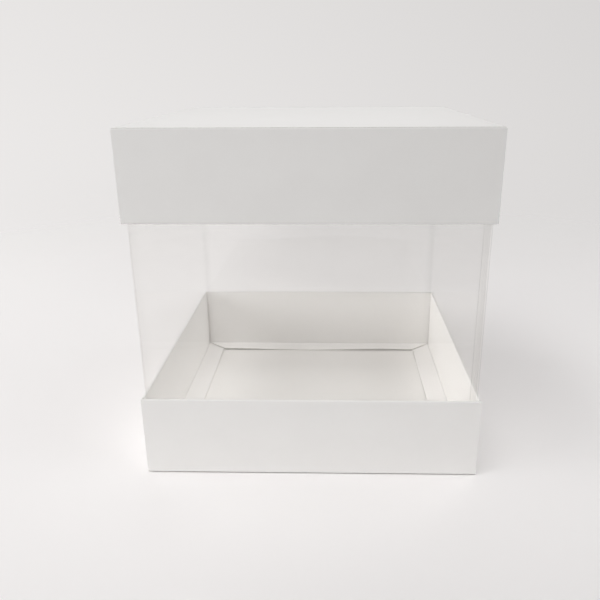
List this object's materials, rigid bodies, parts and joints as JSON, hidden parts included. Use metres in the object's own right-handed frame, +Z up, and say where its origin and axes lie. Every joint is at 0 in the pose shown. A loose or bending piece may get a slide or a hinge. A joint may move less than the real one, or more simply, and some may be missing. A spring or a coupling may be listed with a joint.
{
  "type": "favor box",
  "caption": "Square gift box: folded white board tray and matching lift-off lid, with a clear film sleeve standing between them to show what is inside.",
  "frame": {"origin": "centre of the tray's underside, on the surface that the box stands on", "axes": "+Z up through the middle of the lid, +X to the right, and the front towards -Y"},
  "size_m": [0.15, 0.15, 0.1532],
  "materials": {
    "white_board": "matte",
    "clear_film": "gloss"
  },
  "bodies": {
    "tray": {"tray_floor": "white_board", "tray_front_outer_wall": "white_board", "tray_right_outer_wall": "white_board", "tray_back_outer_wall": "white_board", "tray_left_outer_wall": "white_board", "tray_front_rim": "white_board", "tray_right_rim": "white_board", "tray_back_rim": "white_board", "tray_left_rim": "white_board", "tray_front_inner_wall": "white_board", "tray_right_inner_wall": "white_board", "tray_back_inner_wall": "white_board", "tray_left_inner_wall": "white_board", "tray_front_left_tab": "white_board", "tray_front_right_tab": "white_board", "tray_back_left_tab": "white_board", "tray_back_right_tab": "white_board"},
    "sleeve": {"sleeve_front_panel": "clear_film", "sleeve_right_panel": "clear_film", "sleeve_back_panel": "clear_film", "sleeve_left_panel": "clear_film", "sleeve_seam_flap": "clear_film"},
    "lid": {"lid_top": "white_board", "lid_front_outer_wall": "white_board", "lid_right_outer_wall": "white_board", "lid_back_outer_wall": "white_board", "lid_left_outer_wall": "white_board", "lid_front_rim": "white_board", "lid_right_rim": "white_board", "lid_back_rim": "white_board", "lid_left_rim": "white_board", "lid_front_inner_wall": "white_board", "lid_right_inner_wall": "white_board", "lid_back_inner_wall": "white_board", "lid_left_inner_wall": "white_board", "lid_front_left_tab": "white_board", "lid_front_right_tab": "white_board", "lid_back_left_tab": "white_board", "lid_back_right_tab": "white_board"},
    "tray_front_flange": {"tray_front_flange": "white_board"},
    "tray_right_flange": {"tray_right_flange": "white_board"},
    "tray_back_flange": {"tray_back_flange": "white_board"},
    "tray_left_flange": {"tray_left_flange": "white_board"},
    "lid_front_flange": {"lid_front_flange": "white_board"},
    "lid_right_flange": {"lid_right_flange": "white_board"},
    "lid_back_flange": {"lid_back_flange": "white_board"},
    "lid_left_flange": {"lid_left_flange": "white_board"}
  },
  "joints": [
    {"name": "sleeve_lift", "type": "slide", "parent": "tray", "child": "sleeve", "axis": [0, 0, 1], "range_m": [0, 0.12]},
    {"name": "lid_lift", "type": "slide", "parent": "sleeve", "child": "lid", "axis": [0, 0, 1], "range_m": [0, 0.12]},
    {"name": "tray_front_flange_fold", "type": "hinge", "parent": "tray", "child": "tray_front_flange", "pos_m": [0, -0.0736, 0.0009], "axis": [1, 0, 0], "range_deg": [0, 25], "stiffness_Nm_per_rad": 0.004},
    {"name": "tray_right_flange_fold", "type": "hinge", "parent": "tray", "child": "tray_right_flange", "pos_m": [0.0736, 0, 0.0009], "axis": [0, 1, 0], "range_deg": [0, 25], "stiffness_Nm_per_rad": 0.004},
    {"name": "tray_back_flange_fold", "type": "hinge", "parent": "tray", "child": "tray_back_flange", "pos_m": [0, 0.0736, 0.0009], "axis": [-1, 0, 0], "range_deg": [0, 25], "stiffness_Nm_per_rad": 0.004},
    {"name": "tray_left_flange_fold", "type": "hinge", "parent": "tray", "child": "tray_left_flange", "pos_m": [-0.0736, 0, 0.0009], "axis": [0, -1, 0], "range_deg": [0, 25], "stiffness_Nm_per_rad": 0.004},
    {"name": "lid_front_flange_fold", "type": "hinge", "parent": "lid", "child": "lid_front_flange", "pos_m": [0, -0.0736, 0.1523], "axis": [-1, 0, 0], "range_deg": [0, 25], "stiffness_Nm_per_rad": 0.004},
    {"name": "lid_right_flange_fold", "type": "hinge", "parent": "lid", "child": "lid_right_flange", "pos_m": [0.0736, 0, 0.1523], "axis": [0, -1, 0], "range_deg": [0, 25], "stiffness_Nm_per_rad": 0.004},
    {"name": "lid_back_flange_fold", "type": "hinge", "parent": "lid", "child": "lid_back_flange", "pos_m": [0, 0.0736, 0.1523], "axis": [1, 0, 0], "range_deg": [0, 25], "stiffness_Nm_per_rad": 0.004},
    {"name": "lid_left_flange_fold", "type": "hinge", "parent": "lid", "child": "lid_left_flange", "pos_m": [-0.0736, 0, 0.1523], "axis": [0, 1, 0], "range_deg": [0, 25], "stiffness_Nm_per_rad": 0.004}
  ]
}
